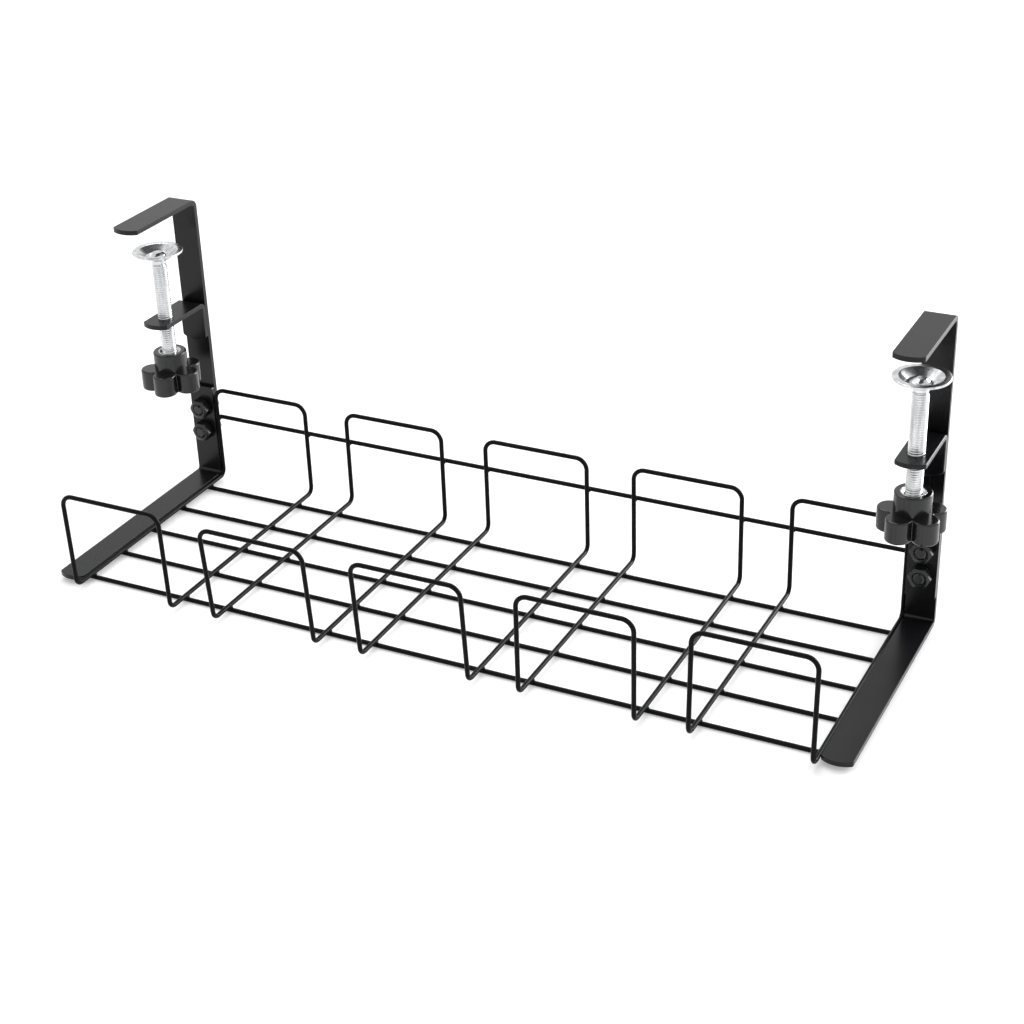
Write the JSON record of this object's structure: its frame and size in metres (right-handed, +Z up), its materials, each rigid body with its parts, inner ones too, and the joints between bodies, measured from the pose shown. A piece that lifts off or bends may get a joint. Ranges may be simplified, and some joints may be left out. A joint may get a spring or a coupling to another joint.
{
  "type": "under-desk cable tray",
  "caption": "Black wire cable tray on bent steel brackets that clamp to a desk edge with star-knob screws and dished pads.",
  "frame": {"origin": "bottom centre of the whole tray's box, on the floor under its lowest wires", "axes": "+X along the tray to the right clamp, +Y to the desk edge side where the uprights stand, +Z up"},
  "size_m": [0.4476, 0.1512, 0.1681],
  "materials": {
    "black_powder_coat": "semi-gloss powder coat",
    "black_hardware": "satin black coated hardware",
    "bright_zinc": "bright zinc plating",
    "black_plastic": "satin moulded plastic"
  },
  "bodies": {
    "tray": {"wire_loop_1": "black_powder_coat", "wire_loop_2": "black_powder_coat", "wire_loop_3": "black_powder_coat", "wire_loop_4": "black_powder_coat", "wire_loop_5": "black_powder_coat", "floor_wire_1": "black_powder_coat", "floor_wire_2": "black_powder_coat", "floor_wire_3": "black_powder_coat", "floor_wire_4": "black_powder_coat", "floor_wire_5": "black_powder_coat", "back_wire": "black_powder_coat", "left_strap": "black_powder_coat", "left_clamp_bar": "black_powder_coat", "left_ear": "black_powder_coat", "left_lower_bolt": "black_hardware", "left_lower_nut": "black_hardware", "left_upper_bolt": "black_hardware", "left_upper_nut": "black_hardware", "right_strap": "black_powder_coat", "right_clamp_bar": "black_powder_coat", "right_ear": "black_powder_coat", "right_lower_bolt": "black_hardware", "right_lower_nut": "black_hardware", "right_upper_bolt": "black_hardware", "right_upper_nut": "black_hardware"},
    "left_clamp_pad": {"left_pad": "bright_zinc"},
    "left_clamp_screw": {"left_screw": "bright_zinc", "left_knob": "black_plastic", "left_insert": "bright_zinc"},
    "right_clamp_pad": {"right_pad": "bright_zinc"},
    "right_clamp_screw": {"right_screw": "bright_zinc", "right_knob": "black_plastic", "right_insert": "bright_zinc"}
  },
  "joints": [
    {"name": "left_pad_lift", "type": "slide", "parent": "tray", "child": "left_clamp_pad", "axis": [0, 0, 1], "range_m": [-0.03356, 0.01638]},
    {"name": "left_screw_turn", "type": "hinge", "parent": "left_clamp_pad", "child": "left_clamp_screw", "pos_m": [-0.20847, 0.04261, 0.08972], "axis": [0, 0, 1], "range_deg": [-9667, 4717]},
    {"name": "right_pad_lift", "type": "slide", "parent": "tray", "child": "right_clamp_pad", "axis": [0, 0, 1], "range_m": [-0.03356, 0.01638]},
    {"name": "right_screw_turn", "type": "hinge", "parent": "right_clamp_pad", "child": "right_clamp_screw", "pos_m": [0.20897, 0.03761, 0.08972], "axis": [0, 0, 1], "range_deg": [-9667, 4717]}
  ],
  "couplings": [
    {"joint": "left_screw_turn", "follows": "left_pad_lift", "rad_per_m": 5026.5},
    {"joint": "right_screw_turn", "follows": "right_pad_lift", "rad_per_m": 5026.5}
  ]
}
